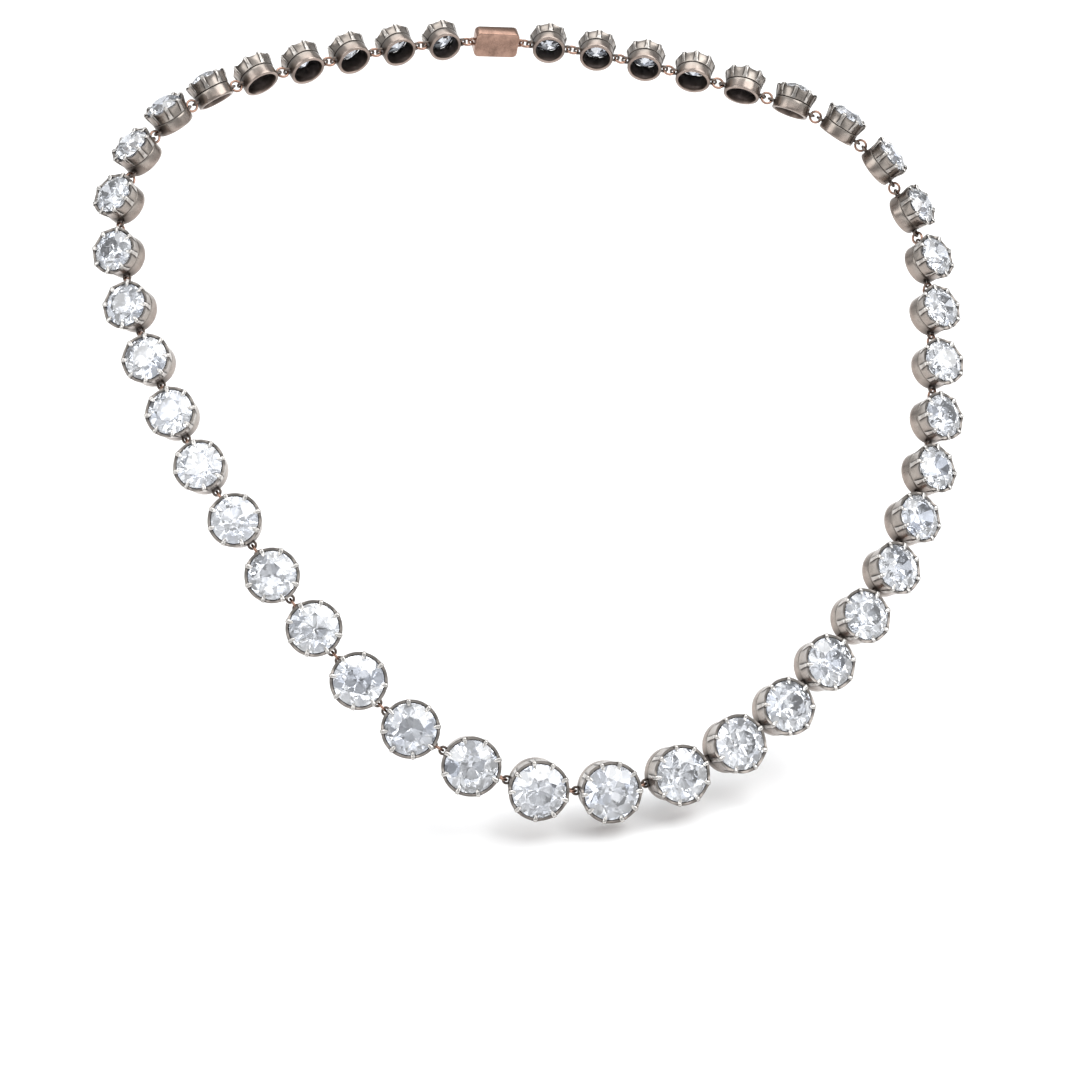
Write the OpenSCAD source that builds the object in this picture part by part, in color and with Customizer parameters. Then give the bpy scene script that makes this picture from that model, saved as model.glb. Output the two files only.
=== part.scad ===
// Riviere necklace: a closed row of graduated round stones, each in its own
// open-backed claw collet, joined by small round links and a plain box clasp.
// The row keeps the form that it has when worn: +Z is up, -Y is the front, and
// the origin is the middle of the clasp's inner face, which rests on the nape.

/* [Graduation] */
// Number of settings on each side of the centre one
settings_each_side = 21; // [17:1:21]
// Diameter over the rim of the centre setting
front_setting_d = 9.6; // [8.6:0.1:10.6]
// Diameter over the rim of the setting beside the clasp
back_setting_d = 6; // [5.6:0.1:7]

/* [Settings] */
// Width of metal between the edge of the stone and the outside of the rim
rim_w = 0.7; // [0.6:0.05:0.85]
// Wall of the plain band at the back of a setting
band_wall = 0.5; // [0.4:0.05:0.6]
// Claws on the centre setting
front_claws = 10; // [8:1:12]
// Claws on a setting at the side, the fewest that one has
side_claws = 8; // [6:1:8]
// Width of a claw, which is the metal left standing between two flutes
claw_w = 0.62; // [0.5:0.02:0.7]
// Diameter of the grain that a claw ends in
grain_d = 0.82; // [0.8:0.02:0.88]
// Distance that a grain is set in from the outside of the rim
grain_ledge = 0.06; // [0.04:0.01:0.1]
// Width of the cut line between the plain band and the fluted wall
seam_w = 0.16; // [0.1:0.02:0.24]
// Depth of that cut line
seam_depth = 0.12; // [0.06:0.02:0.16]

/* [Stones] */
// Thickness of a stone's edge
girdle_t = 0.16; // [0.1:0.02:0.2]
// Space left between a stone and its setting
stone_gap = 0.14; // [0.12:0.01:0.16]

/* [Links] */
// Diameter of the wire of links and soldered eyes
wire_d = 0.4; // [0.34:0.02:0.46]
// Space round a link's wire inside an eye
link_play = 0.15; // [0.13:0.01:0.17]
// Radius of a link, to the middle of its wire
link_r = 0.87; // [0.85:0.01:1]
// Distance from a wall to the middle of the eye on it
eye_standoff = 0.38; // [0.34:0.01:0.42]
// Height of the eyes above the back edge of a setting
eye_height = 1; // [0.9:0.05:1.05]

/* [Clasp] */
// Length of the clasp's box along the row
clasp_len = 7; // [6:0.5:9]
// Width of the clasp's box
clasp_w = 4.4; // [3.6:0.2:5]
// Thickness of the clasp's box
clasp_t = 2.2; // [2:0.1:2.6]
// Radius of the corners of the clasp's box
clasp_corner_r = 0.8; // [0.4:0.1:1.2]

/* [Hidden] */
$fn = 48;

// Route of the row as it is worn, starting at the clasp and going round by the
// wearer's right shoulder, which is on the left of a picture from the front.
// Columns: x, y and z of a point, then the compass turn and the rise of the way
// that the stones face there. A turn of 0 faces the front, 90 faces +X.
ROUTE = [
    [0, 0, 0, -180, 10],
    [-29.5, -4.8, 1.4, -143, 19],
    [-52.3, -13.6, -0.4, -86, 33],
    [-63.7, -26.3, -7.8, -58, 36.5],
    [-65.1, -40.4, -19, -42.5, 38.5],
    [-61.3, -56, -31.3, -30, 42.5],
    [-55.1, -68.9, -42, -24.5, 42.5],
    [-45.1, -81.8, -56, -20.5, 41],
    [-33.7, -91.4, -67.6, -17, 35],
    [-16.8, -97.4, -76.1, -10.5, 22],
    [2.6, -97.7, -77.8, 5, 24.5],
    [22.5, -89.4, -74.4, 21, 38],
    [40.9, -75.6, -65.6, 28.5, 37.5],
    [50, -65.1, -59.2, 35.5, 37.5],
    [57.5, -52.5, -51.8, 37.5, 39],
    [62, -37.6, -39.9, 37, 45],
    [62.8, -22.8, -28.1, 57.5, 37.5],
    [53.6, -13.2, -15.4, 87, 34],
    [29.8, -5.7, -6.2, 143, 19]
];
SPAN_STEPS = 12;
FULL_TURN = 360;

BAND_SHARE = 0.86;        // radius of the plain band as a share of the rim's
WALL_FOOT_SHARE = 0.875;  // radius of the fluted wall's foot, the same way
HEIGHT_SHARE = 0.52;      // back edge to stone edge as a share of the diameter
// Plain band as a share of that height: it grows from the centre to the back
BAND_HEIGHT_FRONT = 0.28;
BAND_HEIGHT_GROWTH = 0.022;
BAND_HEIGHT_MOST = 0.52;
FLUTE_FOOT_SHARE = 0.08;  // plain metal below a flute as a share of the wall
BAND_BEVEL = 0.14;        // bevel round the back edge
GRAIN_FOOT = 0.14;        // height of the round foot that a grain stands on
GRAIN_SINK = 0.07;        // how far that foot is sunk in the rim

// Proportions of an old cut, as shares of the stone's radius
TABLE_SHARE = 0.46;
CROWN_SHARE = 0.34;
PAVILION_SHARE = 0.84;
CULET_SHARE = 0.1;
STAR_REACH = 0.5;         // how far the star facets come down the crown
LOWER_REACH = 0.62;       // how far the lower facets go down the pavilion
STEEPEST_CROWN = 0.84;    // rise of the steepest upper facets
MAIN_FACETS = 8;

// Small differences between the pieces, which are set and hung by hand
LEAN_TURN = 2;
LEAN_RISE = 1.5;
TABLE_SPREAD = 0.04;

wire_r = wire_d / 2;
eye_r = wire_d + link_play;

// Graduation: the place in the row is counted from the centre, left is below 0
function setting_d(k) =
    front_setting_d + (back_setting_d - front_setting_d) * abs(k) / settings_each_side;
function rim_r(k) = setting_d(k) / 2;
function band_r(k) = BAND_SHARE * rim_r(k);
function stone_r(k) = rim_r(k) - rim_w;
function setting_h(k) = HEIGHT_SHARE * setting_d(k);
function edge_z(k) = setting_h(k) - eye_height;
function claws(k) = max(side_claws, front_claws - abs(k));
function band_height_share(k) = min(BAND_HEIGHT_MOST, BAND_HEIGHT_FRONT + BAND_HEIGHT_GROWTH * abs(k));
function band_top(k) = band_height_share(k) * setting_h(k) - eye_height;
function wall_foot_r(k) = WALL_FOOT_SHARE * rim_r(k);
function wall_foot_z(k) = band_top(k) + seam_w;
// The rim is so high that the grains, which reach over the stone, clear its crown
grain_inset = grain_ledge + grain_d / 2;
grain_reach = grain_inset + grain_d / 2 - rim_w;
function lip_z(k) =
    edge_z(k) + girdle_t + stone_gap + grain_reach * STEEPEST_CROWN + GRAIN_SINK;

// Distances along the row between the middles of neighbours
eye_span = 2 * (eye_standoff + link_r);
function step_after(k) = band_r(k) + band_r(k + 1) + eye_span;
clasp_step = clasp_len / 2 + band_r(settings_each_side) + eye_span;
function place_along(k) =
    k == -settings_each_side ? clasp_step : place_along(k - 1) + step_after(k - 1);
row_len = place_along(settings_each_side) + clasp_step;

// A smooth closed curve through the route's points
function route_point(i) =
    let (n = len(ROUTE), turns = floor(i / n), p = ROUTE[i - n * turns])
    [p[0], p[1], p[2], p[3] + FULL_TURN * turns, p[4]];
function curve_point(i, t) =
    let (a = route_point(i - 1), b = route_point(i), c = route_point(i + 1), d = route_point(i + 2))
    (2 * b + (c - a) * t + (2 * a - 5 * b + 4 * c - d) * t * t + (3 * b - 3 * c + d - a) * t * t * t) / 2;
curve = [
    for (i = [0 : len(ROUTE) - 1], j = [0 : SPAN_STEPS - 1]) curve_point(i, j / SPAN_STEPS),
    route_point(len(ROUTE))
];
function place(p) = [p[0], p[1], p[2]];
curve_lens = [
    for (i = 0, s = 0; i < len(curve);
         i = i + 1, s = s + (i < len(curve) ? norm(place(curve[i]) - place(curve[i - 1])) : 0)) s
];
// The route is drawn to the row's own length, so that the row closes
route_scale = row_len / curve_lens[len(curve) - 1];
columns = [for (c = [0 : 4]) [for (i = [0 : len(curve) - 1]) [curve_lens[i] * route_scale, curve[i][c]]]];
function wrap(s) = s - row_len * floor(s / row_len);
function row_place(s) = route_scale * [for (c = [0 : 2]) lookup(wrap(s), columns[c])];
function unit(v) = v / norm(v);
function row_way(s) = unit(row_place(s + 1) - row_place(s - 1));
function facing(turn, rise) = [sin(turn) * cos(rise), -cos(turn) * cos(rise), sin(rise)];
function square_to(v, way) = unit(v - (v * way) * way);
function row_facing(s, turn, rise) =
    square_to(facing(lookup(wrap(s), columns[3]) + turn, lookup(wrap(s), columns[4]) + rise), row_way(s));
function lean_turn(k) = LEAN_TURN * sin(137 * k);
function lean_rise(k) = LEAN_RISE * sin(71 * k + 40);
function spin(k) = 47 * k;

// The clasp's inner face is the origin
origin_shift = eye_height * row_facing(0, 0, 0) - row_place(0);

// Frame of a piece: x along the row, z the way it faces, and its place
function frame_of(s, turn, rise) =
    let (x = row_way(s), z = row_facing(s, turn, rise), y = cross(z, x), p = row_place(s) + origin_shift)
    [[x[0], y[0], z[0], p[0]], [x[1], y[1], z[1], p[1]], [x[2], y[2], z[2], p[2]], [0, 0, 0, 1]];
function setting_frame(k) = frame_of(place_along(k), lean_turn(k), lean_rise(k));
clasp_frame = frame_of(0, 0, 0);
function at(m, v) = let (w = m * [v[0], v[1], v[2], 1]) [w[0], w[1], w[2]];

// Middles of the two eyes beside the gap after place k, where a place past
// either end of the row is the clasp
function gap_start(k) =
    k < -settings_each_side ? at(clasp_frame, [clasp_len / 2 + eye_standoff, 0, 0])
                            : at(setting_frame(k), [band_r(k) + eye_standoff, 0, 0]);
function gap_end(k) =
    k == settings_each_side ? at(clasp_frame, [-clasp_len / 2 - eye_standoff, 0, 0])
                            : at(setting_frame(k + 1), [-band_r(k + 1) - eye_standoff, 0, 0]);
function gap_facing(k) =
    k < -settings_each_side || k == settings_each_side
        ? row_facing(0, 0, 0)
        : row_facing(place_along(k) + step_after(k) / 2, 0, 0);

function two_digits(i) = str(i < 10 ? "0" : "", i);
function setting_name(k) =
    k == 0 ? "centre_setting" : str(k < 0 ? "left" : "right", "_setting_", two_digits(abs(k)));
setting_places = [for (k = [-settings_each_side : settings_each_side]) k];

// Ring of round wire, flat on the ground
module wire_ring(r) {
    rotate_extrude() translate([r, 0]) circle(r = wire_r);
}

// Half ball on a short round foot
module half_ball(r, foot) {
    cylinder(r = r, h = foot);
    translate([0, 0, foot]) rotate_extrude() intersection() {
        circle(r = r);
        square([r, r]);
    }
}

// Outer form of a setting without flutes, hollow or claws
module setting_blank(k) {
    foot = -eye_height;
    rotate_extrude() polygon([
        [0, foot],
        [band_r(k) - BAND_BEVEL, foot],
        [band_r(k), foot + BAND_BEVEL],
        [band_r(k), band_top(k)],
        [band_r(k) - seam_depth, band_top(k) + seam_w / 2],
        [wall_foot_r(k), wall_foot_z(k)],
        [rim_r(k), lip_z(k)],
        [0, lip_z(k)]
    ]);
}

// Space for the stone and the open back, as one turned form
module setting_hollow(k) {
    bore_r = band_r(k) - band_wall;
    seat_r = stone_r(k) + stone_gap;
    seat_z = edge_z(k) - stone_gap;
    rotate_extrude() polygon([
        [0, -eye_height - 1],
        [bore_r, -eye_height - 1],
        [bore_r, seat_z - (seat_r - bore_r) * PAVILION_SHARE],
        [seat_r, seat_z],
        [seat_r, lip_z(k) + 1],
        [0, lip_z(k) + 1]
    ]);
}

// One flute is a flat cut that leans less than the wall does, so that it has a
// round foot low on the wall and is widest at the rim
module flute(k) {
    width = 2 * rim_r(k) * sin(180 / claws(k)) - claw_w;
    top_x = sqrt(rim_r(k) * rim_r(k) - width * width / 4);
    foot_x = wall_foot_r(k) + FLUTE_FOOT_SHARE * (rim_r(k) - wall_foot_r(k));
    foot_z = wall_foot_z(k) + FLUTE_FOOT_SHARE * (lip_z(k) - wall_foot_z(k));
    lean = atan((top_x - foot_x) / (lip_z(k) - foot_z));
    reach = setting_h(k);
    translate([foot_x, -rim_r(k), foot_z]) rotate([0, lean, 0])
        translate([0, 0, -reach / 2]) cube([rim_w, 2 * rim_r(k), 2 * reach]);
}

// Grain that a claw ends in, pushed over the edge of the stone
module grain(k) {
    translate([rim_r(k) - grain_inset, 0, lip_z(k) - GRAIN_SINK]) half_ball(grain_d / 2, GRAIN_FOOT);
}

// A setting: one soldered piece with its claws and its two eyes
module setting(k) {
    color("silver") multmatrix(setting_frame(k)) {
        difference() {
            setting_blank(k);
            setting_hollow(k);
            for (i = [0 : claws(k) - 1])
                rotate([0, 0, spin(k) + FULL_TURN * (i + 0.5) / claws(k)]) flute(k);
        }
        for (i = [0 : claws(k) - 1])
            rotate([0, 0, spin(k) + FULL_TURN * i / claws(k)]) grain(k);
        for (side = [-1, 1])
            translate([side * (band_r(k) + eye_standoff), 0, 0]) wire_ring(eye_r);
    }
}

// Old-cut stone: table, stars, kites and upper facets above the edge, lower
// facets, mains and a small culet below it, each one flat
module stone(k) {
    r = stone_r(k);
    n = MAIN_FACETS;
    half = 180 / n;
    table_r = r * (TABLE_SHARE + TABLE_SPREAD * sin(97 * k + 20));
    top_z = girdle_t + CROWN_SHARE * r;
    crown_fall = (top_z - girdle_t) / (r - table_r);
    star_r = table_r + STAR_REACH * (r - table_r);
    star_z = top_z - (star_r * cos(half) - table_r) * crown_fall;
    culet_r = CULET_SHARE * r;
    bottom_z = -PAVILION_SHARE * r;
    pavilion_rise = -bottom_z / (r - culet_r);
    lower_r = r - LOWER_REACH * (r - culet_r);
    lower_z = bottom_z + (lower_r * cos(half) - culet_r) * pavilion_rise;
    function ring(m, radius, z, turn) =
        [for (i = [0 : m - 1]) [radius * cos(FULL_TURN * i / m + turn), radius * sin(FULL_TURN * i / m + turn), z]];
    points = concat(
        ring(n, table_r, top_z, 0), ring(n, star_r, star_z, half), ring(2 * n, r, girdle_t, 0),
        ring(2 * n, r, 0, 0), ring(n, lower_r, lower_z, half), ring(n, culet_r, bottom_z, 0)
    );
    table = 0;
    star = n;
    upper = 2 * n;
    lower = 4 * n;
    tip = 6 * n;
    culet = 7 * n;
    faces = concat(
        [[for (i = [n - 1 : -1 : 0]) table + i]],
        [for (i = [0 : n - 1]) [table + i, table + (i + 1) % n, star + i]],
        [for (i = [0 : n - 1]) [table + i, star + i, upper + 2 * i, star + (i + n - 1) % n]],
        [for (i = [0 : n - 1]) [star + i, upper + 2 * i + 1, upper + 2 * i]],
        [for (i = [0 : n - 1]) [star + i, upper + (2 * i + 2) % (2 * n), upper + 2 * i + 1]],
        [for (i = [0 : 2 * n - 1]) [upper + i, upper + (i + 1) % (2 * n), lower + (i + 1) % (2 * n), lower + i]],
        [for (i = [0 : n - 1]) [tip + i, lower + 2 * i, lower + 2 * i + 1]],
        [for (i = [0 : n - 1]) [tip + i, lower + 2 * i + 1, lower + (2 * i + 2) % (2 * n)]],
        [for (i = [0 : n - 1]) [culet + i, tip + (i + n - 1) % n, lower + 2 * i, tip + i]],
        [for (i = [0 : n - 1]) [culet + i, tip + i, culet + (i + 1) % n]],
        [[for (i = [0 : n - 1]) culet + i]]
    );
    color("aliceblue") multmatrix(setting_frame(k))
        translate([0, 0, edge_z(k)]) rotate([0, 0, 31 * k])
            polyhedron(points = points, faces = faces, convexity = 2);
}

// A link joins the eyes on both sides of the gap after place k
module link(k) {
    a = gap_start(k);
    b = gap_end(k);
    x = unit(b - a);
    z = cross(x, square_to(gap_facing(k), x));
    y = cross(z, x);
    p = (a + b) / 2;
    color("rosybrown")
        multmatrix([[x[0], y[0], z[0], p[0]], [x[1], y[1], z[1], p[1]], [x[2], y[2], z[2], p[2]], [0, 0, 0, 1]])
            wire_ring(link_r);
}

// Outline of the clasp's box, with round corners
module clasp_outline() {
    straight_len = clasp_len - 2 * clasp_corner_r;
    straight_w = clasp_w - 2 * clasp_corner_r;
    square([clasp_len, straight_w], center = true);
    square([straight_len, clasp_w], center = true);
    for (x = [-1, 1], y = [-1, 1])
        translate([x * straight_len / 2, y * straight_w / 2]) circle(r = clasp_corner_r);
}

// Plain closed box clasp with an eye at each end
module clasp() {
    color("rosybrown") multmatrix(clasp_frame) {
        translate([0, 0, -eye_height]) linear_extrude(height = clasp_t) clasp_outline();
        for (side = [-1, 1])
            translate([side * (clasp_len / 2 + eye_standoff), 0, 0]) wire_ring(eye_r);
    }
}

for (k = setting_places)
    setting(k);
stone(0);  // centre_stone
for (k = [-settings_each_side : -1]) stone(k);  // left_stones
for (k = [1 : settings_each_side]) stone(k);  // right_stones
for (k = [-settings_each_side - 1 : -1]) link(k);  // left_links
for (k = [0 : settings_each_side]) link(k);  // right_links
clasp();
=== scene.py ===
import math
import random

import bmesh
import bpy
from mathutils import Matrix, Vector


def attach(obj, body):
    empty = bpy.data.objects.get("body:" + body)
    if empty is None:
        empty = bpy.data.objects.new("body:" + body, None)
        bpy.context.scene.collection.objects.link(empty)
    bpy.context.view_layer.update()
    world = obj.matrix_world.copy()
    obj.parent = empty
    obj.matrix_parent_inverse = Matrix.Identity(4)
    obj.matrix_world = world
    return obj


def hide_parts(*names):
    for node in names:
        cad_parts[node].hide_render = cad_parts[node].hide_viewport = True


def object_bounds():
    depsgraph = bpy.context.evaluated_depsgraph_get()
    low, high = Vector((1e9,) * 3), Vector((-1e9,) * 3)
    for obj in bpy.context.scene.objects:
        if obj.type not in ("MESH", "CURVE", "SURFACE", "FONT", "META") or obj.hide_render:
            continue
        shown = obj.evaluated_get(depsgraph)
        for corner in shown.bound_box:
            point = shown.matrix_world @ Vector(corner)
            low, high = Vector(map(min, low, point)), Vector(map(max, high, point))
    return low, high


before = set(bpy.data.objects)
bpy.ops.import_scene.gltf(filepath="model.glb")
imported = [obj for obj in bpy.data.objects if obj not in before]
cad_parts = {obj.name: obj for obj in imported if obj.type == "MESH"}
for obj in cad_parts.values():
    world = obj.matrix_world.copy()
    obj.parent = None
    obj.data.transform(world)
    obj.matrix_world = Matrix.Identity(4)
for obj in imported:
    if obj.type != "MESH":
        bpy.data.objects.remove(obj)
cadLow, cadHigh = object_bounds()
scene = bpy.context.scene
mm = 0.001
fullTurn = 2 * math.pi
print("frame loaded with", len(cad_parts), "nodes")


# the row: its graduation and the route that it takes when worn, in metres and degrees
row = {
    "eachSide": 21,
    "frontDiameter": 9.6 * mm,
    "backDiameter": 6.0 * mm,
    "rimWidth": 0.7 * mm,
    "bandWall": 0.5 * mm,
    "frontClaws": 10,
    "sideClaws": 8,
    "grainSize": 0.82 * mm,
    "grainLedge": 0.06 * mm,
    "grainSink": 0.07 * mm,
    "seamWidth": 0.16 * mm,
    "seamDepth": 0.12 * mm,
    "girdle": 0.16 * mm,
    "stoneGap": 0.14 * mm,
    "stoneFill": 0.04 * mm,  # how much a stone fills of the gap round it
    "wireDiameter": 0.4 * mm,
    "linkPlay": 0.15 * mm,
    "linkRadius": 0.87 * mm,
    "eyeStandoff": 0.38 * mm,
    "eyeHeight": 1.0 * mm,
    "claspLength": 7.0 * mm,
    "claspWidth": 4.4 * mm,
    "claspThickness": 2.2 * mm,
    "claspCorner": 0.8 * mm,
    "bandShare": 0.86,
    "wallFootShare": 0.875,
    "heightShare": 0.52,
    "bandHeightFront": 0.28,
    "bandHeightGrowth": 0.022,
    "bandHeightMost": 0.52,
    "steepestCrown": 0.84,
    "clawTurn": 47,  # from the claws of one setting to those of the next
    "leanTurn": 2,  # how far a setting leans out of the row's way at most
    "leanRise": 1.5,
    "leanTurnStep": 137,
    "leanRiseStep": 71,
    "leanRiseStart": 40,
    "spanSteps": 12,
}

# x, y and z of a point, then the compass turn and the rise of the way the stones face there
route = [
    (0, 0, 0, -180, 10),
    (-0.0295, -0.0048, 0.0014, -143, 19),
    (-0.0523, -0.0136, -0.0004, -86, 33),
    (-0.0637, -0.0263, -0.0078, -58, 36.5),
    (-0.0651, -0.0404, -0.019, -42.5, 38.5),
    (-0.0613, -0.056, -0.0313, -30, 42.5),
    (-0.0551, -0.0689, -0.042, -24.5, 42.5),
    (-0.0451, -0.0818, -0.056, -20.5, 41),
    (-0.0337, -0.0914, -0.0676, -17, 35),
    (-0.0168, -0.0974, -0.0761, -10.5, 22),
    (0.0026, -0.0977, -0.0778, 5, 24.5),
    (0.0225, -0.0894, -0.0744, 21, 38),
    (0.0409, -0.0756, -0.0656, 28.5, 37.5),
    (0.05, -0.0651, -0.0592, 35.5, 37.5),
    (0.0575, -0.0525, -0.0518, 37.5, 39),
    (0.062, -0.0376, -0.0399, 37, 45),
    (0.0628, -0.0228, -0.0281, 57.5, 37.5),
    (0.0536, -0.0132, -0.0154, 87, 34),
    (0.0298, -0.0057, -0.0062, 143, 19),
]

last = row["eachSide"]
places = range(-last, last + 1)  # places are counted from the centre, left is below 0


def settingDiameter(k):
    return row["frontDiameter"] + (row["backDiameter"] - row["frontDiameter"]) * abs(k) / last


def rimRadius(k):
    return settingDiameter(k) / 2


def bandRadius(k):
    return row["bandShare"] * rimRadius(k)


def stoneRadius(k):
    return rimRadius(k) - row["rimWidth"]


def stoneEdge(k):
    return row["heightShare"] * settingDiameter(k) - row["eyeHeight"]


def bandTop(k):
    share = min(row["bandHeightMost"], row["bandHeightFront"] + row["bandHeightGrowth"] * abs(k))
    return share * row["heightShare"] * settingDiameter(k) - row["eyeHeight"]


def clawCount(k):
    return max(row["sideClaws"], row["frontClaws"] - abs(k))


def lipHeight(k):
    grainReach = row["grainLedge"] + row["grainSize"] - row["rimWidth"]
    clearOfStone = stoneEdge(k) + row["girdle"] + row["stoneGap"]
    return clearOfStone + grainReach * row["steepestCrown"] + row["grainSink"]


def clawSpin(k):
    return math.radians(row["clawTurn"] * k)


eyeSpan = 2 * (row["eyeStandoff"] + row["linkRadius"])
claspStep = row["claspLength"] / 2 + bandRadius(last) + eyeSpan
placeAlong = {-last: claspStep}
for k in range(-last, last):
    placeAlong[k + 1] = placeAlong[k] + bandRadius(k) + bandRadius(k + 1) + eyeSpan
rowLength = placeAlong[last] + claspStep


def routePoint(i):
    turns, index = divmod(i, len(route))
    x, y, z, turn, rise = route[index]
    return (x, y, z, turn + 360 * turns, rise)


def curvePoint(i, t):
    a, b, c, d = [routePoint(i + step) for step in (-1, 0, 1, 2)]
    return [
        (2 * q + (r - p) * t + (2 * p - 5 * q + 4 * r - s) * t ** 2 + (3 * q - 3 * r + s - p) * t ** 3) / 2
        for p, q, r, s in zip(a, b, c, d)
    ]


curve = [curvePoint(i, j / row["spanSteps"]) for i in range(len(route)) for j in range(row["spanSteps"])]
curve.append(routePoint(len(route)))
curveLengths = [0]
for here, there in zip(curve, curve[1:]):
    curveLengths.append(curveLengths[-1] + (Vector(there[:3]) - Vector(here[:3])).length)
routeScale = rowLength / curveLengths[-1]  # the route is drawn to the row's own length


def rowAt(s):
    s = (s % rowLength) / routeScale
    i = max(j for j in range(len(curve) - 1) if curveLengths[j] <= s)
    t = (s - curveLengths[i]) / (curveLengths[i + 1] - curveLengths[i])
    x, y, z, turn, rise = [a + (b - a) * t for a, b in zip(curve[i], curve[i + 1])]
    return Vector((x, y, z)) * routeScale, turn, rise


def rowWay(s):
    return (rowAt(s + mm)[0] - rowAt(s - mm)[0]).normalized()


def rowFacing(s, leanTurn=0.0, leanRise=0.0):
    turn, rise = [math.radians(v) for v in rowAt(s)[1:]]
    turn += math.radians(leanTurn)
    rise += math.radians(leanRise)
    facing = Vector((math.sin(turn) * math.cos(rise), -math.cos(turn) * math.cos(rise), math.sin(rise)))
    way = rowWay(s)
    return (facing - way * facing.dot(way)).normalized()


originShift = row["eyeHeight"] * rowFacing(0) - rowAt(0)[0]


def frameFrom(x, z, place):
    y = z.cross(x)
    return Matrix((
        (x.x, y.x, z.x, place.x),
        (x.y, y.y, z.y, place.y),
        (x.z, y.z, z.z, place.z),
        (0, 0, 0, 1),
    ))


def frameOf(s, leanTurn=0.0, leanRise=0.0):
    return frameFrom(rowWay(s), rowFacing(s, leanTurn, leanRise), rowAt(s)[0] + originShift)


def settingFrame(k):
    leanTurn = row["leanTurn"] * math.sin(math.radians(row["leanTurnStep"] * k))
    leanRise = row["leanRise"] * math.sin(math.radians(row["leanRiseStep"] * k + row["leanRiseStart"]))
    return frameOf(placeAlong[k], leanTurn, leanRise)


def nodeName(k):
    if k == 0:
        return "centre_setting"
    return f"{'left' if k < 0 else 'right'}_setting_{abs(k):02d}"


settingFrames = {k: settingFrame(k) for k in places}
claspFrame = frameOf(0)

# the frames have to lie where the CAD settings lie
worst = 0
for k in places:
    toLocal = settingFrames[k].inverted()
    lowest = min((toLocal @ v.co).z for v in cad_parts[nodeName(k)].data.vertices)
    worst = max(worst, abs(lowest + row["eyeHeight"]))
print(f"row of {rowLength * 1000:.1f} mm laid out, back edges off by {worst * 1e6:.1f} micrometres at most")


# an edge stays sharp from this angle on, in degrees; flat facets have no smoothing
softEdges = 50
crispEdges = 35
flatFacets = 0


# small tools for meshes and nodes
def newPiece(name, bm, material, nodes, smoothAngle):
    mesh = bpy.data.meshes.new(name)
    bm.to_mesh(mesh)
    bm.free()
    for polygon in mesh.polygons:
        polygon.use_smooth = smoothAngle > flatFacets
    if smoothAngle > flatFacets:
        mesh.set_sharp_from_angle(angle=math.radians(smoothAngle))
    mesh.materials.append(material)
    piece = bpy.data.objects.new(name, mesh)
    scene.collection.objects.link(piece)
    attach(piece, "root")
    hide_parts(*nodes)
    return piece


def addRing(bm, radius, wireRadius, matrix, around=28, section=12):
    before = set(bm.verts)
    wire = bmesh.ops.create_circle(bm, segments=section, radius=wireRadius, cap_ends=False)
    stand = Matrix.Translation((radius, 0, 0)) @ Matrix.Rotation(math.pi / 2, 4, "X")
    bmesh.ops.transform(bm, matrix=stand, verts=wire["verts"])
    edges = list({e for v in wire["verts"] for e in v.link_edges})
    bmesh.ops.spin(bm, geom=wire["verts"] + edges, cent=(0, 0, 0), axis=(0, 0, 1), dvec=(0, 0, 0),
                   angle=fullTurn, steps=around, use_merge=True, use_normal_flip=False, use_duplicate=False)
    made = [v for v in bm.verts if v not in before]
    faces = list({f for v in made for f in v.link_faces})
    bmesh.ops.recalc_face_normals(bm, faces=faces)
    bmesh.ops.transform(bm, matrix=matrix, verts=made)
    return made


def newMaterial(name):
    material = bpy.data.materials.new(name)
    material.use_nodes = True
    tree = material.node_tree
    return material, tree, tree.nodes["Principled BSDF"]


def addNode(tree, kind, **settings):
    node = tree.nodes.new(kind)
    for name, value in settings.items():
        if name in node.inputs:
            node.inputs[name].default_value = value
        else:
            setattr(node, name, value)
    return node


def mixColors(tree, factor, a, b):
    node = tree.nodes.new("ShaderNodeMix")
    node.data_type = "RGBA"
    # the colour sockets of this node are the seventh and eighth, and its colour comes out third
    for socket, given in zip((node.inputs[0], node.inputs[6], node.inputs[7]), (factor, a, b)):
        if isinstance(given, bpy.types.NodeSocket):
            tree.links.new(given, socket)
        else:
            socket.default_value = given
    return node.outputs[2]


def newGroup(name, inputs, outputs):
    group = bpy.data.node_groups.new(name, "ShaderNodeTree")
    for label, kind, value in inputs:
        socket = group.interface.new_socket(name=label, in_out="INPUT", socket_type=kind)
        socket.default_value = value
    for label, kind in outputs:
        group.interface.new_socket(name=label, in_out="OUTPUT", socket_type=kind)
    return group, group.nodes.new("NodeGroupInput"), group.nodes.new("NodeGroupOutput")


# worn metal with painted shade, used by the settings, the links and the clasp; only the settings feed it
# painted shade, which darkens toward the tarnish colour
wornLook = {
    "cloudDetail": 3.0,
    "cloudRoughness": 0.6,
    "cloudFrom": 0.4,
    "cloudTo": 0.75,
    "scratchSize": 9000.0,
    "scratchDetail": 4.0,
    "scratchRoughness": 0.7,
    "bumpDepth": 0.02 * mm,
}


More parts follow.
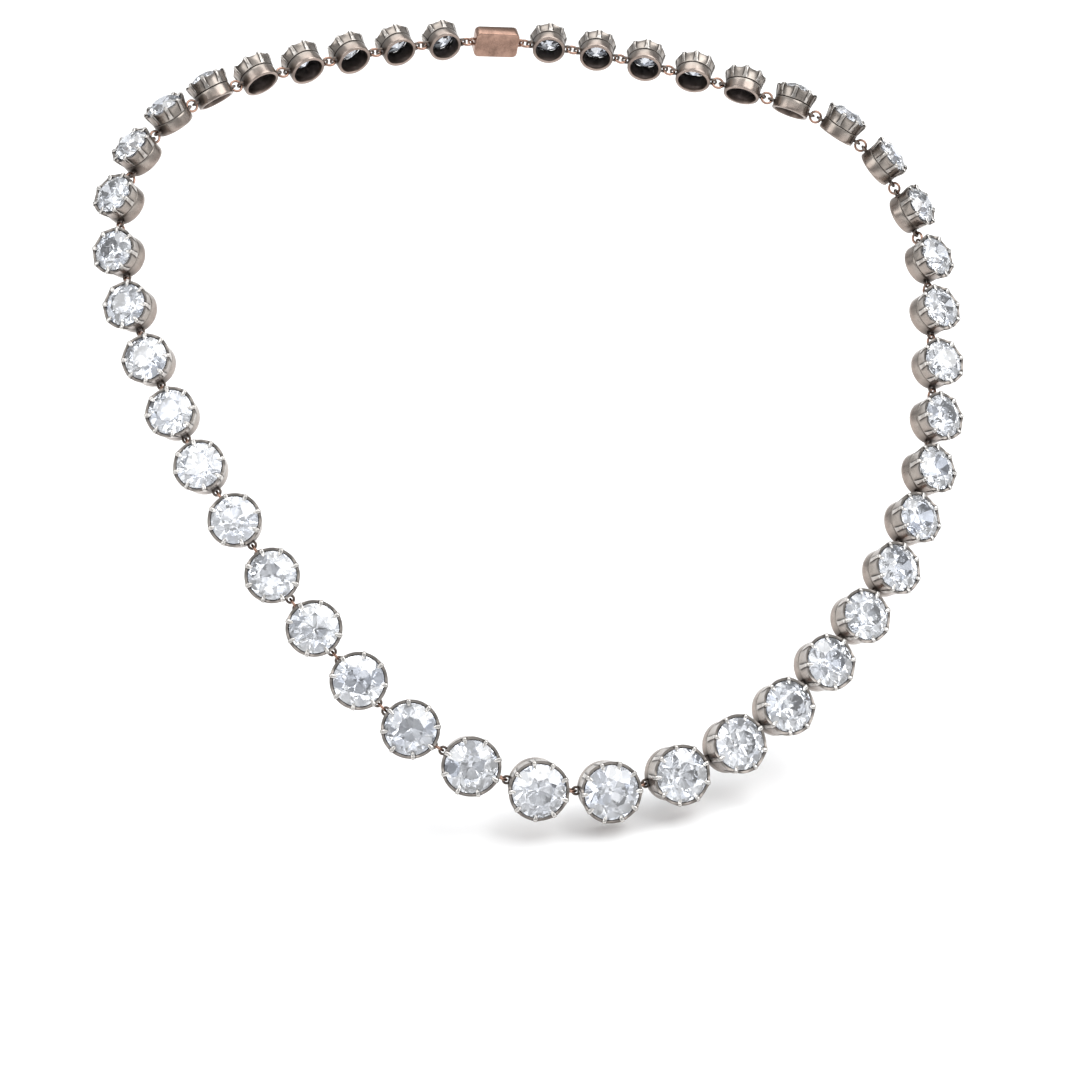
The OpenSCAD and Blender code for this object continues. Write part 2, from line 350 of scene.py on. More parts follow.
def makeWornMetalAndShadeGroup(look):
    group, given, out = newGroup("wornMetalAndShade", [
        ("Clean", "NodeSocketColor", (0.7, 0.7, 0.7, 1)),
        ("Tarnish and shade", "NodeSocketColor", (0.1, 0.08, 0.06, 1)),
        ("Painted shade", "NodeSocketFloat", 0.0),
        ("Cloud size", "NodeSocketFloat", 900.0),
        ("Cloud amount", "NodeSocketFloat", 0.3),
        ("Roughness low", "NodeSocketFloat", 0.2),
        ("Roughness high", "NodeSocketFloat", 0.45),
    ], [("Color", "NodeSocketColor"), ("Roughness", "NodeSocketFloat"), ("Height", "NodeSocketFloat")])
    link = group.links.new
    where = addNode(group, "ShaderNodeTexCoord")
    clouds = addNode(group, "ShaderNodeTexNoise", Detail=look["cloudDetail"],
                     Roughness=look["cloudRoughness"])
    link(where.outputs["Object"], clouds.inputs["Vector"])
    link(given.outputs["Cloud size"], clouds.inputs["Scale"])
    scratches = addNode(group, "ShaderNodeTexNoise", Scale=look["scratchSize"], Detail=look["scratchDetail"],
                        Roughness=look["scratchRoughness"])
    link(where.outputs["Object"], scratches.inputs["Vector"])
    spread = addNode(group, "ShaderNodeMapRange")
    spread.inputs["From Min"].default_value = look["cloudFrom"]
    spread.inputs["From Max"].default_value = look["cloudTo"]
    link(clouds.outputs["Fac"], spread.inputs["Value"])
    cloudy = addNode(group, "ShaderNodeMath", operation="MULTIPLY")
    link(spread.outputs["Result"], cloudy.inputs[0])
    link(given.outputs["Cloud amount"], cloudy.inputs[1])
    # whichever is darker, the real tarnish clouds or the painted shade, pulls the colour toward the tarnish
    # colour
    darker = addNode(group, "ShaderNodeMath", operation="MAXIMUM", use_clamp=True)
    link(cloudy.outputs[0], darker.inputs[0])
    link(given.outputs["Painted shade"], darker.inputs[1])
    tint = mixColors(group, darker.outputs[0], given.outputs["Clean"], given.outputs["Tarnish and shade"])
    gloss = addNode(group, "ShaderNodeMapRange")
    link(darker.outputs[0], gloss.inputs["Value"])
    link(given.outputs["Roughness low"], gloss.inputs["To Min"])
    link(given.outputs["Roughness high"], gloss.inputs["To Max"])
    link(tint, out.inputs["Color"])
    link(gloss.outputs["Result"], out.inputs["Roughness"])
    link(scratches.outputs["Fac"], out.inputs["Height"])
    return group


wornMetalAndShade = makeWornMetalAndShadeGroup(wornLook)

settingLook = {
    "silver": (0.35, 0.312, 0.28, 1),
    "claw": (0.7, 0.68, 0.655, 1),
    "rose": (0.37, 0.29, 0.25, 1),
    "tarnishAndShade": (0.012, 0.009, 0.008, 1),
    "cloudSize": 600.0,
    "cloudAmount": 0.3,
    "roughnessLow": 0.24,
    "roughnessHigh": 0.5,
    "bump": 0.05,
}


def makeSettingMetal(look):
    material, tree, shader = newMaterial("silverOverRoseGold")
    link = tree.links.new
    paintedShade = addNode(tree, "ShaderNodeAttribute", attribute_name="paintedShade")
    rose = addNode(tree, "ShaderNodeAttribute", attribute_name="rose")
    wear = addNode(tree, "ShaderNodeAttribute", attribute_name="wear")
    polished = mixColors(tree, wear.outputs["Fac"], look["silver"], look["claw"])
    gilt = mixColors(tree, rose.outputs["Fac"], polished, look["rose"])
    wornAndShaded = addNode(tree, "ShaderNodeGroup", node_tree=wornMetalAndShade)
    wornAndShaded.inputs["Tarnish and shade"].default_value = look["tarnishAndShade"]
    wornAndShaded.inputs["Cloud size"].default_value = look["cloudSize"]
    wornAndShaded.inputs["Cloud amount"].default_value = look["cloudAmount"]
    wornAndShaded.inputs["Roughness low"].default_value = look["roughnessLow"]
    wornAndShaded.inputs["Roughness high"].default_value = look["roughnessHigh"]
    link(gilt, wornAndShaded.inputs["Clean"])
    link(paintedShade.outputs["Fac"], wornAndShaded.inputs["Painted shade"])
    bump = addNode(tree, "ShaderNodeBump", Strength=look["bump"], Distance=wornLook["bumpDepth"])
    link(wornAndShaded.outputs["Height"], bump.inputs["Height"])
    link(wornAndShaded.outputs["Color"], shader.inputs["Base Color"])
    link(wornAndShaded.outputs["Roughness"], shader.inputs["Roughness"])
    link(bump.outputs["Normal"], shader.inputs["Normal"])
    shader.inputs["Metallic"].default_value = 1.0
    return material


settingMetal = makeSettingMetal(settingLook)


# a collet: plain band, cut line, fluted wall with fins, claws over the stone and two soldered eyes
collet = {
    "columns": 14,  # mesh columns from one claw to the next
    "edgeColumns": 3,  # how many of them lie on each side of a fin
    "backBevel": 0.14 * mm,
    "boreBevel": 0.06 * mm,
    "seatSlope": 0.84,
    "finHalf": 0.22 * mm,
    "finSpread": 0.5,  # how much wider a fin is at its foot
    "finShoulder": 0.6,  # as a share of its half width
    "finSlope": 0.07 * mm,
    "finWear": 0.3,  # at its foot, and all worn at the lip
    "lipWall": 0.43 * mm,
    "lipLow": 0.16 * mm,  # how much lower the worn lip is than a new one
    "lipDrop": 0.3 * mm,  # how far it is cut down between the claws
    "lipStart": 0.6,  # where the cut starts, as a share of the wall's height
    "lipWear": 0.2,
    "panelDip": 0.07 * mm,
    "panelShade": 0.4,
    "cornerShadeFoot": 0.15,  # the shade beside a fin fades in over this share of the wall's height
    "cornerShadeNarrow": 1.8,
    "eyeShade": 0.95,
    "eyeShadeReach": 1.5 * mm,
    "eyeShadeHeight": 0.2 * mm,
    "eyeRose": 0.7,
    "eyePaintedShade": 0.6,
    "paintedUnderShade": 0.75,
    "underTilt": 0.15,  # how much painted shade the sides that face left get too
    "wearGuard": 0.8,  # how much of the painted shade a worn edge is spared
    "levels": (0, 0.05, 0.11, 0.19, 0.3, 0.43, 0.57, 0.71, 0.84, 0.94, 1),
    "clawJitter": 1.6,  # degrees
    "seed": 5,
}


def between(a, b, t):
    return a + (b - a) * t


def colletProfile(k):
    band = bandRadius(k)
    back = -row["eyeHeight"]
    top = bandTop(k)
    bevel = collet["backBevel"]
    bore = band - row["bandWall"]
    seat = stoneRadius(k) + row["stoneGap"]
    seatZ = stoneEdge(k) - row["stoneGap"]
    lip = lipHeight(k) - collet["lipLow"]
    footRadius = row["wallFootShare"] * rimRadius(k)
    foot = top + row["seamWidth"]
    tall = top - back
    # radius, height, share of the wall's height or a flag below 0, painted shade in hollows and gaps, rose
    profile = [
        (bore, back + 0.08 * mm, -1, 0.5, 1.0),
        (bore + collet["boreBevel"], back, -1, 0.2, 1.0),
        (band - bevel, back, -1, 0.0, 0.8),
        (band - 0.35 * bevel, back + 0.25 * bevel, -1, 0.0, 0.5),
        (band, back + bevel, -1, 0.0, 0.45),
        (band + 0.01 * mm, back + 0.3 * tall, -1, 0.0, 0.5),
        (band + 0.015 * mm, back + 0.55 * tall, -1, 0.0, 0.3),
        (band + 0.01 * mm, back + 0.8 * tall, -1, 0.0, 0.1),
        (band, top - 0.07 * mm, -1, 0.0, 0.0),
        (band - 0.02 * mm, top - 0.02 * mm, -1, 0.45, 0.0),
        (band - row["seamDepth"], top + 0.5 * row["seamWidth"], -1, 1.0, 0.0),
        (footRadius - 0.03 * mm, foot - 0.02 * mm, -1, 0.6, 0.0),
    ]
    for share in collet["levels"]:
        profile.append((between(footRadius, rimRadius(k), share), between(foot, lip, share), share, 0.0, 0.0))
    profile += [
        (seat + 0.04 * mm, lip, -2, 0.5, 0.0),
        (seat, lip - 0.04 * mm, -2, 0.95, 0.0),
        (seat, seatZ, -1, 0.95, 0.0),
        (bore, seatZ - (seat - bore) * collet["seatSlope"], -1, 0.85, 0.3),
        (bore, between(back, seatZ, 0.3), -1, 0.7, 0.8),
    ]
    return profile


def clawAngles(k, chance):
    count = clawCount(k)
    jitter = math.radians(collet["clawJitter"])
    return [clawSpin(k) + fullTurn * i / count + chance.uniform(-jitter, jitter) for i in range(count)]


def addWall(bm, k, angles):
    layers = {name: bm.verts.layers.float.get(name) for name in ("share", "paintedShade", "rose", "wear")}
    chain = []
    for radius, height, share, paintedShade, rose in colletProfile(k):
        vert = bm.verts.new((radius, 0, height))
        vert[layers["share"]] = share
        vert[layers["paintedShade"]] = paintedShade
        vert[layers["rose"]] = rose
        chain.append(vert)
    edges = [bm.edges.new((a, b)) for a, b in zip(chain, chain[1:] + chain[:1])]
    columns = collet["columns"]
    count = len(angles)
    steps = columns * count
    bmesh.ops.spin(bm, geom=chain + edges, cent=(0, 0, 0), axis=(0, 0, 1), dvec=(0, 0, 0),
                   angle=fullTurn, steps=steps, use_merge=True, use_normal_flip=False, use_duplicate=False)
    bmesh.ops.recalc_face_normals(bm, faces=bm.faces[:])
    seat = stoneRadius(k) + row["stoneGap"]
    rim = rimRadius(k)
    footRadius = row["wallFootShare"] * rim
    edge = collet["edgeColumns"]
    for vert in bm.verts:
        share = vert[layers["share"]]
        radius = math.hypot(vert.co.x, vert.co.y)
        column = round(math.atan2(vert.co.y, vert.co.x) % fullTurn / fullTurn * steps) % steps
        i, j = divmod(column, columns)
        first = angles[i]
        second = angles[(i + 1) % count] + (fullTurn if i + 1 == count else 0)
        if share == -1:
            angle = between(first, second, j / columns)
        else:
            level = max(share, 0) if share > -2 else 1
            half = collet["finHalf"] * (1 + collet["finSpread"] * (1 - level) ** 2)
            offsets = (0, collet["finShoulder"] * half, half, half + collet["finSlope"])
            inner = offsets[edge] / radius
            if j <= edge:
                angle = first + offsets[j] / radius
            elif j >= columns - edge:
                angle = second - offsets[columns - j] / radius
            else:
                angle = between(first + inner, second - inner, (j - edge) / (columns - 2 * edge))
            away = min(j, columns - j)
            if away >= edge:
                # the panels between the fins, with painted shade beside the fins and growing toward the lip
                middle = (away - edge) / (columns / 2 - edge)
                if share >= 0:
                    panel = between(footRadius, seat + collet["lipWall"], share)
                    radius = min(radius, panel - collet["panelDip"] * math.sin(math.pi * share))
                    fadeIn = min(1, share / collet["cornerShadeFoot"])
                    beside = fadeIn * max(0, 1 - collet["cornerShadeNarrow"] * middle) ** 2
                    vert[layers["paintedShade"]] = max(beside, collet["panelShade"] * share ** 3)
                start = collet["lipStart"]
                nearLip = 1 if share == -2 else max(0, (share - start) / (1 - start))
                vert.co.z -= nearLip ** 1.5 * collet["lipDrop"] * math.sin(math.pi / 2 * min(1, middle * 1.5))
                vert[layers["wear"]] = collet["lipWear"] * nearLip ** 3
            elif share >= 0:
                vert[layers["wear"]] = min(1, between(collet["finWear"], 1, share))
        vert.co.x = radius * math.cos(angle)
        vert.co.y = radius * math.sin(angle)
        if share != -2:
            # painted shade: the metal is darkened round the eyes, where the links and the next setting shade
            # it
            eye = Vector((bandRadius(k), 0, collet["eyeShadeHeight"]))
            away = (Vector((abs(vert.co.x), vert.co.y, vert.co.z)) - eye).length
            shade = collet["eyeShade"] * math.exp(-(away / collet["eyeShadeReach"]) ** 2)
            vert[layers["paintedShade"]] = max(vert[layers["paintedShade"]], shade)


claw = {
    "section": 12,
    "halfWidth": 0.31 * mm,
    "halfThick": 0.12 * mm,
    "reach": 0.52 * mm,  # over the stone's edge
    "reachJitter": 0.14,
    "widthJitter": 0.08,
    "crownRise": 0.74,
    "wearFoot": 0.1,
    "wearStep": 0.12,
    # how high on the wall as a share, and how far inside it, then width and thickness as shares
    "onWall": (
        (0.16, 0.12 * mm, 0.75, 0.6),
        (0.45, 0.06 * mm, 0.85, 0.85),
        (0.78, 0.06 * mm, 0.95, 1),
    ),
    # how far inside the rim and above the lip
    "overLip": (
        (0.16 * mm, -0.06 * mm),
        (0.19 * mm, 0.05 * mm),
        (0.26 * mm, 0.12 * mm),
        (0.42 * mm, 0.13 * mm),
    ),
    # how far over the stone as a share, and how far above it, then width and thickness as shares
    "overStone": (
        (0.05, 0.2 * mm, 0.97, 0.95),
        (0.4, 0.13 * mm, 0.8, 0.8),
        (0.75, 0.07 * mm, 0.52, 0.55),
        (1.0, 0.03 * mm, 0.2, 0.25),
    ),
}


def clawStations(k, reach, wide):
    rim = rimRadius(k)
    lip = lipHeight(k) - collet["lipLow"]
    edge = stoneRadius(k) + row["stoneFill"]
    girdleTop = stoneEdge(k) + row["girdle"]
    footRadius = row["wallFootShare"] * rim
    foot = bandTop(k) + row["seamWidth"]
    width = claw["halfWidth"] * wide
    thick = claw["halfThick"]
    # radius and height, half width, half thickness
    stations = []
    for share, inset, widthShare, thickShare in claw["onWall"]:
        stations.append((between(footRadius, rim, share) - inset, between(foot, lip, share),
                         widthShare * width, thickShare * thick))
    for inset, rise in claw["overLip"]:
        stations.append((rim - inset, lip + rise, width, thick))
    for share, space, widthShare, thickShare in claw["overStone"]:
        height = girdleTop + share * reach * claw["crownRise"] + space
        stations.append((edge - share * reach, height, widthShare * width, thickShare * thick))
    return stations


def sweepStation(here, before, after, angle):
    along = Vector((after[0] - before[0], 0, after[1] - before[1])).normalized()
    place = Vector((here[0], 0, here[1]))
    turn = Matrix.Rotation(angle, 4, "Z")
    return turn @ frameFrom(Vector((0, 1, 0)), along, place) @ Matrix.Diagonal((here[2], here[3], 1, 1))


def addClaw(bm, k, angle, chance):
    wear = bm.verts.layers.float.get("wear")
    share = bm.verts.layers.float.get("share")
    reach = claw["reach"] * (1 + chance.uniform(-claw["reachJitter"], claw["reachJitter"]))
    stations = clawStations(k, reach, 1 + chance.uniform(-claw["widthJitter"], claw["widthJitter"]))
    ring = bmesh.ops.create_circle(bm, segments=claw["section"], radius=1, cap_ends=True)["verts"]
    made = list(ring)
    previous = None
    for i, here in enumerate(stations):
        before = stations[max(i - 1, 0)]
        after = stations[min(i + 1, len(stations) - 1)]
        matrix = sweepStation(here, before, after, angle)
        if previous is None:
            bmesh.ops.transform(bm, matrix=matrix, verts=ring)
        else:
            edges = list({e for v in ring for e in v.link_edges if all(w in ring for w in e.verts)})
            grown = bmesh.ops.extrude_edge_only(bm, edges=edges)["geom"]
            ring = [g for g in grown if isinstance(g, bmesh.types.BMVert)]
            bmesh.ops.transform(bm, matrix=matrix @ previous.inverted(), verts=ring)
            made += ring
        for vert in ring:
            vert[wear] = min(1, claw["wearFoot"] + claw["wearStep"] * i)
            vert[share] = -1
        previous = matrix
    edges = list({e for v in ring for e in v.link_edges if all(w in ring for w in e.verts)})
    bmesh.ops.edgeloop_fill(bm, edges=edges)
    faces = list({f for v in made for f in v.link_faces})
    bmesh.ops.recalc_face_normals(bm, faces=faces)


def makeCollet(k):
    chance = random.Random(collet["seed"] * 1000 + k)
    bm = bmesh.new()
    for name in ("share", "paintedShade", "rose", "wear"):
        bm.verts.layers.float.new(name)
    angles = clawAngles(k, chance)
    addWall(bm, k, angles)
    for angle in angles:
        addClaw(bm, k, angle, chance)
    rose = bm.verts.layers.float.get("rose")
    paintedShade = bm.verts.layers.float.get("paintedShade")
    eyeRadius = row["wireDiameter"] + row["linkPlay"]
    for side in (-1, 1):
        place = Matrix.Translation((side * (bandRadius(k) + row["eyeStandoff"]), 0, 0))
        # the eyes get painted shade, as they sit in the shade between settings
        for vert in addRing(bm, eyeRadius, row["wireDiameter"] / 2, place):
            vert[rose] = collet["eyeRose"]
            vert[paintedShade] = collet["eyePaintedShade"]
    bm.verts.layers.float.remove(bm.verts.layers.float.get("share"))
    bmesh.ops.transform(bm, matrix=settingFrames[k], verts=bm.verts[:])
    bm.normal_update()
    wear = bm.verts.layers.float.get("wear")
    for vert in bm.verts:
        # painted shade: undersides are darker, and a little the sides that face left, as if the light falls
        # from above and the right
        under = max(0, -vert.normal.z - collet["underTilt"] * vert.normal.x)
        under *= 1 - collet["wearGuard"] * vert[wear]
        vert[paintedShade] = max(vert[paintedShade], collet["paintedUnderShade"] * under)
    name = nodeName(k).replace("setting", "collet")
    return newPiece(name, bm, settingMetal, [nodeName(k)], softEdges)


faceCount = 0
for k in places:
    piece = makeCollet(k)
    faceCount += sum(len(p.vertices) - 2 for p in piece.data.polygons)
print("collets made,", faceCount, "triangles")


# old-cut stones, cut facet by facet as a cutter does
stone = {
    "segments": 64,
    "mains": 8,
    "crownAngle": 34.5,
    "crownHeight": 0.34,
    "starAngle": 20.0,
    "upperAngle": 39.5,
    "pavilionAngle": 40.6,
    "lowerAngle": 43.4,
    "culet": 0.08,
    "angleJitter": 1.9,
    "turnJitter": 2.6,
    "shapeJitter": 0.05,
    "crownSpread": 1.5,  # degrees from stone to stone
    "pavilionSpread": 1.4,
    "turnEach": 31,  # from one stone to the next
    "weld": 0.0002 * mm,
    "seed": 11,
}


def cutFacet(bm, turn, slope, radius, height, downward):
    a = math.radians(slope)
    t = math.radians(turn)
    upward = -math.cos(a) if downward else math.cos(a)
    normal = Vector((math.sin(a) * math.cos(t), math.sin(a) * math.sin(t), upward))
    point = Vector((radius * math.cos(t), radius * math.sin(t), height))
    geom = bm.verts[:] + bm.edges[:] + bm.faces[:]
    cut = bmesh.ops.bisect_plane(bm, geom=geom, dist=stone["weld"], plane_co=point, plane_no=normal,
                                 clear_outer=True, clear_inner=False)
    edges = [g for g in cut["geom_cut"] if isinstance(g, bmesh.types.BMEdge) and g.is_boundary]
    if len(edges) > 2:
        bmesh.ops.edgeloop_fill(bm, edges=edges)


def makeStone(k):
    chance = random.Random(stone["seed"] * 1000 + k)
    radius = stoneRadius(k) + row["stoneFill"]
    girdle = row["girdle"]
    wobble = stone["shapeJitter"]
    crown = stone["crownHeight"] * radius * (1 + chance.uniform(-wobble, wobble))
    crownAngle = stone["crownAngle"] + chance.uniform(-stone["crownSpread"], stone["crownSpread"])
    pavilionAngle = stone["pavilionAngle"] + chance.uniform(-stone["pavilionSpread"], stone["pavilionSpread"])
    depth = radius * (1 - stone["culet"]) * math.tan(math.radians(pavilionAngle))
    bm = bmesh.new()
    bmesh.ops.create_cone(bm, cap_ends=True, segments=stone["segments"], radius1=radius, radius2=radius,
                          depth=girdle + crown + depth)
    bmesh.ops.translate(bm, vec=(0, 0, (girdle + crown - depth) / 2), verts=bm.verts[:])
    top = girdle + crown
    mains = stone["mains"]
    step = 360 / mains
    tableApothem = radius - crown / math.tan(math.radians(crownAngle))
    starRadius = tableApothem * math.cos(math.radians(step / 2))

    def shaken(value, amount):
        return value + chance.uniform(-amount, amount)

    angle = stone["angleJitter"]
    turn = stone["turnJitter"]
    for i in range(mains):
        cutFacet(bm, shaken(i * step, turn), shaken(crownAngle, angle), radius, girdle, False)
        cutFacet(bm, shaken(i * step, turn), shaken(pavilionAngle, angle), radius, 0, True)
    for i in range(mains):
        cutFacet(bm, shaken((i + 0.5) * step, turn), shaken(stone["starAngle"], angle),
                 starRadius, top, False)
        for side in (-0.25, 0.25):
            cutFacet(bm, shaken((i + 0.5 + side) * step, turn), shaken(stone["upperAngle"], angle),
                     radius, girdle, False)
            cutFacet(bm, shaken((i + 0.5 + side) * step, turn), shaken(stone["lowerAngle"], angle),
                     radius, 0, True)
    spin = Matrix.Rotation(math.radians(stone["turnEach"] * k), 4, "Z")
    place = Matrix.Translation((0, 0, stoneEdge(k)))
    bmesh.ops.transform(bm, matrix=settingFrames[k] @ place @ spin, verts=bm.verts[:])
    return bm


stoneLook = {
    "clear": (0.86, 0.876, 0.908, 1),
    "paintedGlintBlue": (0.66, 0.72, 0.86, 1),
    "blueRarity": 3.0,
    "facetSnap": 0.02,  # normals closer than this count as one facet's
    "index": 2.42,
    "transmission": 0.9,
    "roughness": 0.0,
}


def makeStoneMaterial(look):
    material, tree, shader = newMaterial("oldCutStone")
    link = tree.links.new
    # painted reflection: each facet gets a random tint between clear and pale blue, standing in for the
    # coloured light a cut stone throws back
    surface = addNode(tree, "ShaderNodeNewGeometry")
    hashed = addNode(tree, "ShaderNodeTexWhiteNoise", noise_dimensions="3D")
    snapped = addNode(tree, "ShaderNodeVectorMath", operation="SNAP")
    snapped.inputs[1].default_value = 3 * [look["facetSnap"]]
    link(surface.outputs["True Normal"], snapped.inputs[0])
    link(snapped.outputs[0], hashed.inputs["Vector"])
    strong = addNode(tree, "ShaderNodeMath", operation="POWER")
    strong.inputs[1].default_value = look["blueRarity"]
    link(hashed.outputs["Value"], strong.inputs[0])
    link(mixColors(tree, strong.outputs[0], look["clear"], look["paintedGlintBlue"]), shader.inputs["Base Color"])
    shader.inputs["Transmission Weight"].default_value = look["transmission"]
    shader.inputs["IOR"].default_value = look["index"]
    shader.inputs["Roughness"].default_value = look["roughness"]
    return material


stoneMaterial = makeStoneMaterial(stoneLook)
stoneGroups = {"centre_stone": [0], "left_stones": range(-last, 0), "right_stones": range(1, last + 1)}
for name, members in stoneGroups.items():
    joined = bmesh.new()
    for k in members:
        single = makeStone(k)
        mesh = bpy.data.meshes.new("cutStone")
        single.to_mesh(mesh)
        single.free()
        joined.from_mesh(mesh)
        bpy.data.meshes.remove(mesh)
    piece = newPiece(name + "_cut", joined, stoneMaterial, [name], flatFacets)
    print(name, "cut,", sum(len(p.vertices) - 2 for p in piece.data.polygons), "triangles")


# links and clasp of worn rose gold
goldLook = {
    "gold": (0.38, 0.24, 0.185, 1),
    "tarnishAndShade": (0.05, 0.028, 0.02, 1),
    "cloudSize": 700.0,
    "cloudAmount": 0.5,
    "bump": 0.05,
}


def makeGold(look):
    material, tree, shader = newMaterial("wornRoseGold")
    link = tree.links.new
    wornAndShaded = addNode(tree, "ShaderNodeGroup", node_tree=wornMetalAndShade)
    wornAndShaded.inputs["Clean"].default_value = look["gold"]
    wornAndShaded.inputs["Tarnish and shade"].default_value = look["tarnishAndShade"]
    wornAndShaded.inputs["Cloud size"].default_value = look["cloudSize"]
    wornAndShaded.inputs["Cloud amount"].default_value = look["cloudAmount"]
    bump = addNode(tree, "ShaderNodeBump", Strength=look["bump"], Distance=wornLook["bumpDepth"])
    link(wornAndShaded.outputs["Height"], bump.inputs["Height"])
    link(wornAndShaded.outputs["Color"], shader.inputs["Base Color"])
    link(wornAndShaded.outputs["Roughness"], shader.inputs["Roughness"])
    link(bump.outputs["Normal"], shader.inputs["Normal"])
    shader.inputs["Metallic"].default_value = 1.0
    return material


roseGold = makeGold(goldLook)


def gapEnds(k):
    start = claspFrame if k < -last else settingFrames[k]
    end = claspFrame if k == last else settingFrames[k + 1]
    startReach = row["claspLength"] / 2 if k < -last else bandRadius(k)
    endReach = row["claspLength"] / 2 if k == last else bandRadius(k + 1)
    return (start @ Vector((startReach + row["eyeStandoff"], 0, 0)),
            end @ Vector((-endReach - row["eyeStandoff"], 0, 0)))


def linkFrame(k):
    a, b = gapEnds(k)
    x = (b - a).normalized()
    if k < -last or k == last:
        facing = rowFacing(0)
    else:
        facing = rowFacing(placeAlong[k] + (placeAlong[k + 1] - placeAlong[k]) / 2)
    squared = (facing - x * facing.dot(x)).normalized()
    return frameFrom(x, x.cross(squared), (a + b) / 2)


linkGroups = {"left_links": range(-last - 1, 0), "right_links": range(0, last + 1)}
for name, gaps in linkGroups.items():
    bm = bmesh.new()
    for k in gaps:
        addRing(bm, row["linkRadius"], row["wireDiameter"] / 2, linkFrame(k), around=32)
    newPiece(name + "_worn", bm, roseGold, [name], softEdges)
    print(name, "made")


clasp = {
    "cornerSegments": 6,
    "edge": 0.16 * mm,
    "edgeSegments": 3,
    "level": 0.01 * mm,  # ends of an edge closer in height than this lie level
    "sharp": 1,  # radians, between the faces of an edge that is rounded
}


def makeClasp():
    bm = bmesh.new()
    bmesh.ops.create_cube(bm, size=1)
    size = (row["claspLength"], row["claspWidth"], row["claspThickness"])
    bmesh.ops.scale(bm, vec=size, verts=bm.verts[:])
    upright = [e for e in bm.edges if abs(e.verts[0].co.z - e.verts[1].co.z) > 0.5 * size[2]]
    bmesh.ops.bevel(bm, geom=upright, offset=row["claspCorner"], affect="EDGES",
                    segments=clasp["cornerSegments"], profile=0.5, material=-1)
    flat = [e for e in bm.edges if abs(e.verts[0].co.z - e.verts[1].co.z) < clasp["level"]]
    rims = [e for e in flat if e.calc_face_angle(0) > clasp["sharp"]]
    bmesh.ops.bevel(bm, geom=rims, offset=clasp["edge"], affect="EDGES", segments=clasp["edgeSegments"],
                    profile=0.5, material=-1)
    bmesh.ops.translate(bm, vec=(0, 0, size[2] / 2 - row["eyeHeight"]), verts=bm.verts[:])
    eyeRadius = row["wireDiameter"] + row["linkPlay"]
    for side in (-1, 1):
        place = Matrix.Translation((side * (row["claspLength"] / 2 + row["eyeStandoff"]), 0, 0))
        addRing(bm, eyeRadius, row["wireDiameter"] / 2, place)
    bmesh.ops.transform(bm, matrix=claspFrame, verts=bm.verts[:])
    return newPiece("clasp_worn", bm, roseGold, ["clasp"], crispEdges)


makeClasp()
print("clasp made")


# plain studio: pale floor, soft lights and the camera at the photograph's angle
studio = {
    "floorDrop": 1.5 * mm,
    "floorSize": 6.0,
    "target": (-0.01344, -0.08852, -0.03883),
    "azimuth": -13.0,
    "elevation": 30.0,
    "distance": 0.75,
    "lens": 170.07,
    "sensor": 36.0,
    "clipStart": 0.01,
    "floorDark": (0.93, 0.93, 0.93, 1),
    "floorPale": (0.95, 0.95, 0.95, 1),
    "floorClouds": 3.0,
    "floorRoughness": 0.9,
    "floorGloss": 0.1,
    "room": 1.0,
    "roomTint": (0.97, 0.985, 1.0),
    "patchScale": 3.2,
    "patchFrom": 0.38,
    "patchTo": 0.62,
    "patchLow": 0.62,
    "patchHigh": 1.5,
}


def makeFloor():
    bm = bmesh.new()
    bmesh.ops.create_grid(bm, x_segments=4, y_segments=4, size=studio["floorSize"] / 2)
    bmesh.ops.translate(bm, vec=(0, 0, cadLow.z - studio["floorDrop"]), verts=bm.verts[:])
    mesh = bpy.data.meshes.new("floor")
    bm.to_mesh(mesh)
    bm.free()
    material, tree, shader = newMaterial("paleFloor")
    where = addNode(tree, "ShaderNodeTexCoord")
    noise = addNode(tree, "ShaderNodeTexNoise", Scale=studio["floorClouds"])
    tone = mixColors(tree, noise.outputs["Fac"], studio["floorDark"], studio["floorPale"])
    tree.links.new(where.outputs["Object"], noise.inputs["Vector"])
    tree.links.new(tone, shader.inputs["Base Color"])
    shader.inputs["Roughness"].default_value = studio["floorRoughness"]
    shader.inputs["Specular IOR Level"].default_value = studio["floorGloss"]
    mesh.materials.append(material)
    floor = bpy.data.objects.new("floor", mesh)
    scene.collection.objects.link(floor)


def addLight(name, place, aim, width, height, power):
    data = bpy.data.lights.new(name, "AREA")
    data.shape = "RECTANGLE"
    data.size = width
    data.size_y = height
    data.energy = power
    lamp = bpy.data.objects.new(name, data)
    lamp.location = place
    lamp.rotation_euler = (Vector(aim) - Vector(place)).to_track_quat("-Z", "Y").to_euler()
    scene.collection.objects.link(lamp)


def addCamera():
    data = bpy.data.cameras.new("camera")
    data.lens = studio["lens"]
    data.sensor_width = studio["sensor"]
    data.clip_start = studio["clipStart"]
    camera = bpy.data.objects.new("camera", data)
    a = math.radians(studio["azimuth"])
    e = math.radians(studio["elevation"])
    back = Vector((math.sin(a) * math.cos(e), -math.cos(a) * math.cos(e), math.sin(e)))
    camera.location = Vector(studio["target"]) + back * studio["distance"]
    camera.rotation_euler = (-back).to_track_quat("-Z", "Y").to_euler()
    scene.collection.objects.link(camera)
    scene.camera = camera


# brightness of the room from below, at the horizon and above, by the height that one looks at
roomTones = [(0.0, 0.55), (0.45, 0.44), (0.58, 0.6), (0.73, 0.44), (0.84, 0.75), (1.0, 0.85)]


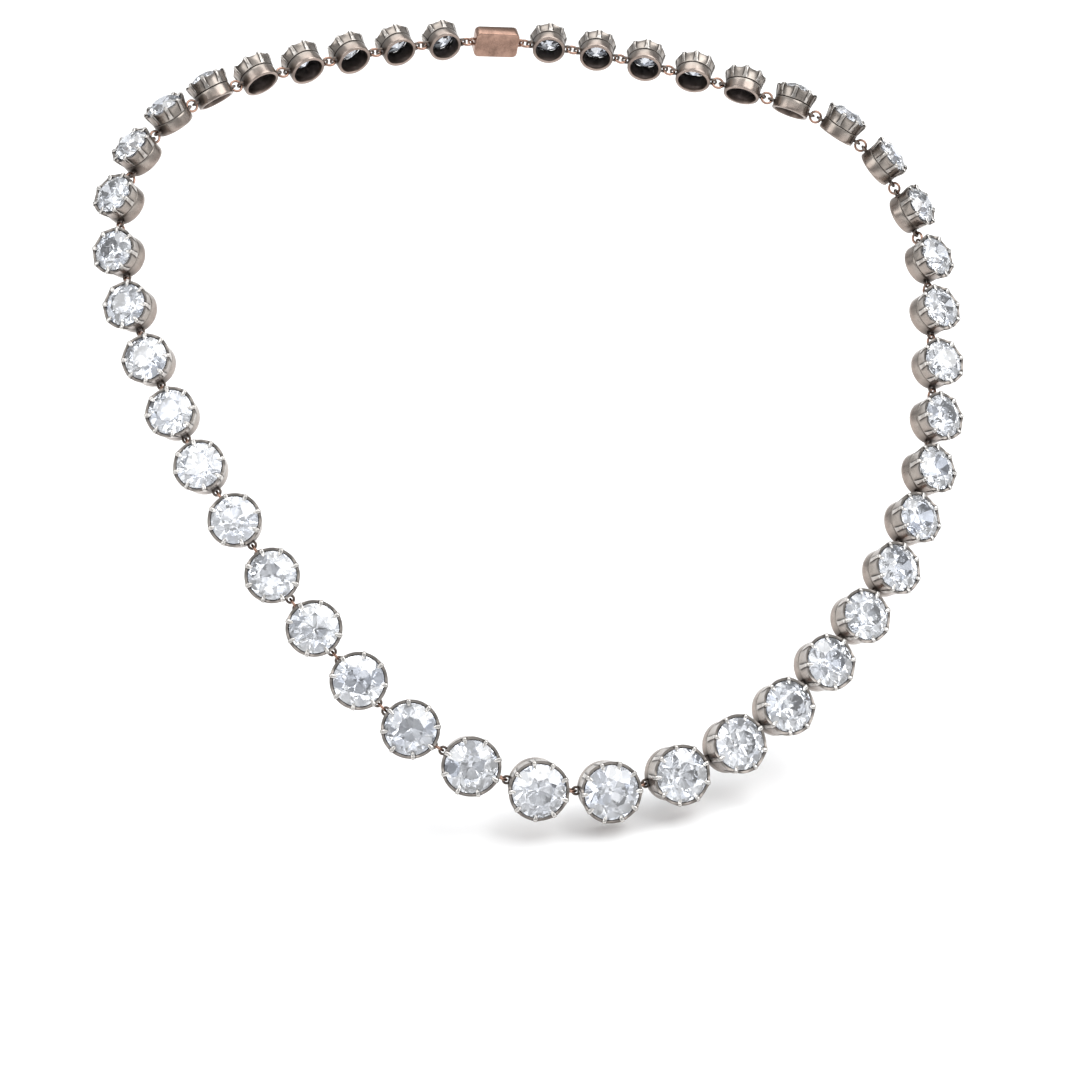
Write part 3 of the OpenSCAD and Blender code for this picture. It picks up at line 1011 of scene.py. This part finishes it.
def setWorld():
    world = bpy.data.worlds.new("studio")
    world.use_nodes = True
    tree = world.node_tree
    where = addNode(tree, "ShaderNodeTexCoord")
    parts = addNode(tree, "ShaderNodeSeparateXYZ")
    height = addNode(tree, "ShaderNodeMapRange")
    height.inputs["From Min"].default_value = -1
    tones = tree.nodes.new("ShaderNodeValToRGB")
    while len(tones.color_ramp.elements) < len(roomTones):
        tones.color_ramp.elements.new(0.5)
    for element, (position, tone) in zip(tones.color_ramp.elements, roomTones):
        element.position = position
        element.color = (*(tone * tint for tint in studio["roomTint"]), 1)
    tree.links.new(where.outputs["Generated"], parts.inputs[0])
    tree.links.new(parts.outputs["Z"], height.inputs["Value"])
    tree.links.new(height.outputs["Result"], tones.inputs["Fac"])
    # soft patches, as screens and flags round the table give
    patches = addNode(tree, "ShaderNodeTexNoise", Scale=studio["patchScale"], Detail=1.0)
    depth = addNode(tree, "ShaderNodeMapRange")
    depth.inputs["From Min"].default_value = studio["patchFrom"]
    depth.inputs["From Max"].default_value = studio["patchTo"]
    depth.inputs["To Min"].default_value = studio["patchLow"]
    depth.inputs["To Max"].default_value = studio["patchHigh"]
    product = addNode(tree, "ShaderNodeVectorMath", operation="SCALE")
    tree.links.new(where.outputs["Generated"], patches.inputs["Vector"])
    tree.links.new(patches.outputs["Fac"], depth.inputs["Value"])
    tree.links.new(tones.outputs["Color"], product.inputs[0])
    tree.links.new(depth.outputs["Result"], product.inputs["Scale"])
    tree.links.new(product.outputs[0], tree.nodes["Background"].inputs["Color"])
    tree.nodes["Background"].inputs["Strength"].default_value = studio["room"]
    scene.world = world


# name, place, width, height and power; all of them aim at the middle of the necklace
middle = (0, -0.05, -0.04)
softboxes = [
    ("keySoftbox", (0.6, -0.35, 0.8), 0.95, 0.95, 8),
    ("frontSoftbox", (-0.15, -1.0, 0.95), 0.8, 0.4, 1),
    ("fillSoftbox", (-0.8, -0.3, 0.5), 0.6, 0.7, 2.5),
    ("topSoftbox", (0.0, 0.4, 0.9), 1.1, 0.7, 4),
]

makeFloor()
addCamera()
setWorld()
scene.view_settings.view_transform = "Standard"
for name, place, width, height, power in softboxes:
    addLight(name, place, middle, width, height, power)
print("studio set")
